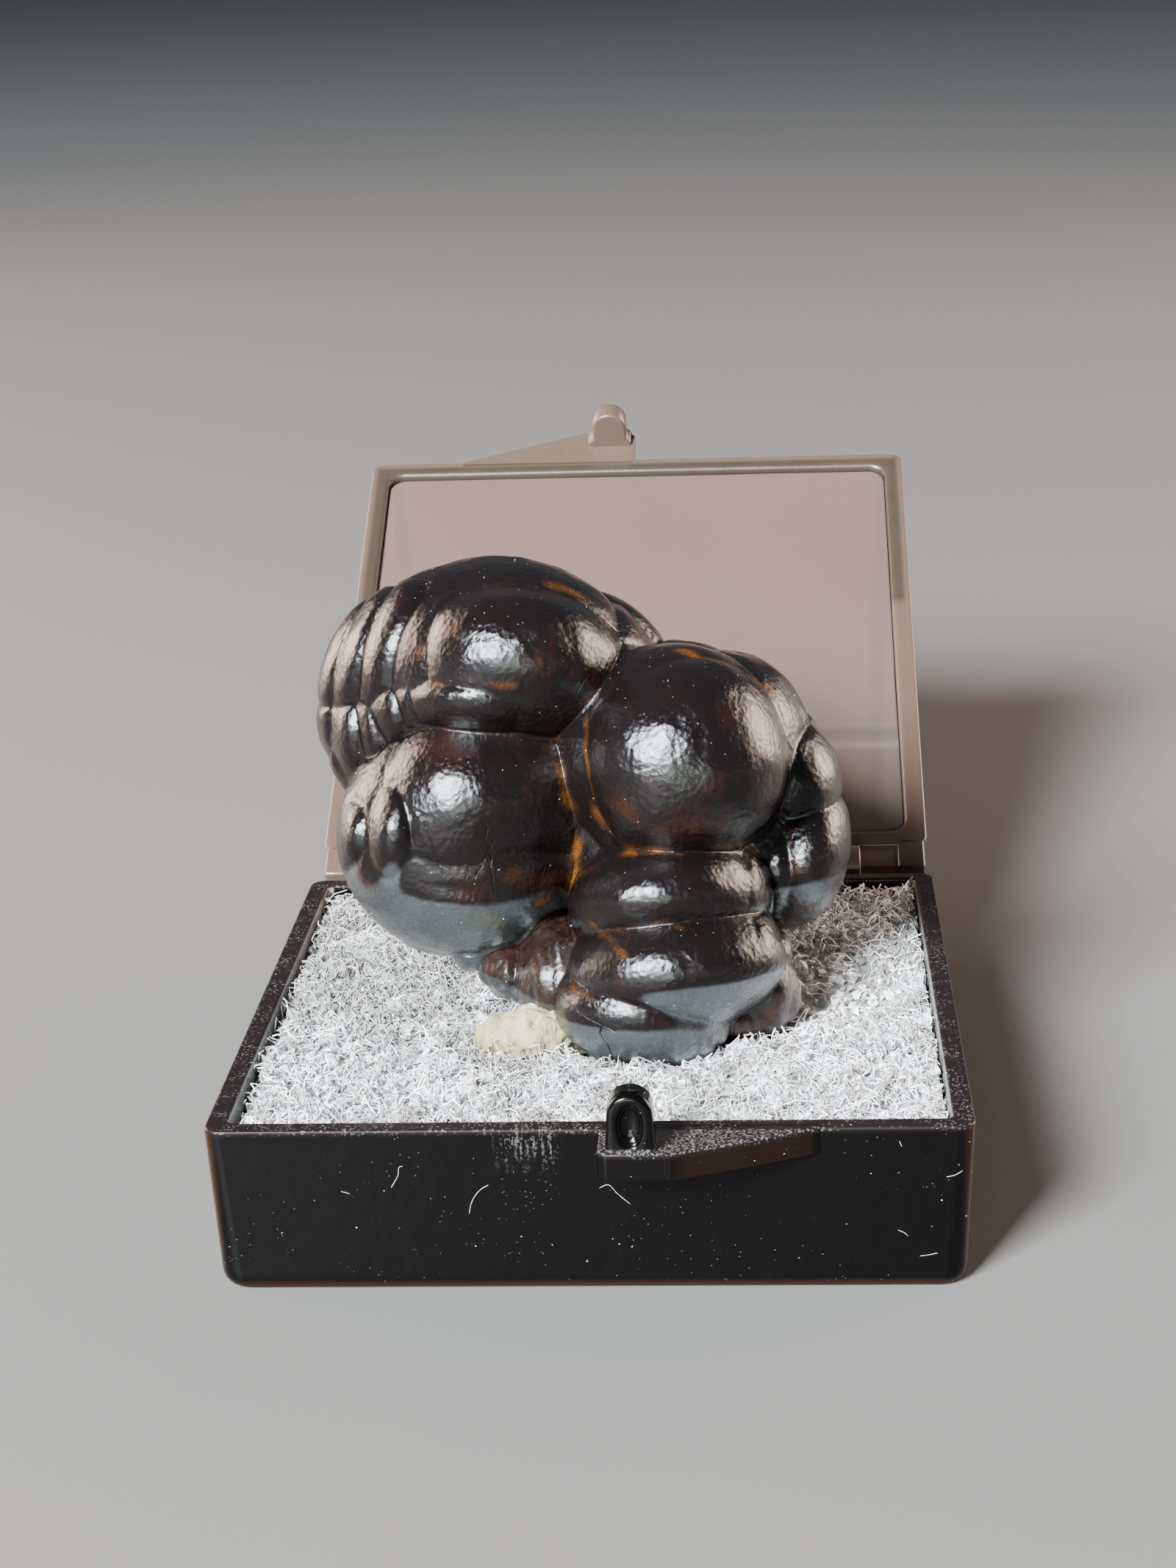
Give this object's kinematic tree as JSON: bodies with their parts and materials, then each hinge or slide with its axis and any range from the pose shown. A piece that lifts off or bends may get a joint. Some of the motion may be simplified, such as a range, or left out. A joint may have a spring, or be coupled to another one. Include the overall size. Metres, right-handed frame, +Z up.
{
  "type": "boxed kidney ore hematite specimen",
  "caption": "Botryoidal kidney ore hematite with glossy fused lobes, fixed with putty in the foam of a small hinged plastic specimen box that stands open.",
  "frame": {"origin": "middle of the flat underside of the tray, which rests on the table", "axes": "+Z up, -Y towards the catch side, +Y towards the hinge and the open lid, +X to the right when looking at the catch"},
  "size_m": [0.0318, 0.069, 0.0267],
  "materials": {
    "tray_plastic": "black, glossy, slightly dusty",
    "lid_plastic": "taupe, smooth and glossy",
    "lid_pad": "pinkish taupe, smooth satin",
    "foam": "white, shredded and fibrous",
    "putty": "cream, matte",
    "hematite": "near-black brown with a high natural polish and rust in the creases"
  },
  "bodies": {
    "box": {"base_tray": "tray_plastic", "foam_insert": "foam", "mineral_tack": "putty", "hematite_specimen": "hematite"},
    "lid": {"lid_shell": "lid_plastic", "lid_pad": "lid_pad"}
  },
  "joints": [
    {"name": "lid_hinge", "type": "hinge", "parent": "box", "child": "lid", "pos_m": [0, 0.0179, 0.007], "axis": [1, 0, 0], "range_deg": [0, 80]}
  ]
}
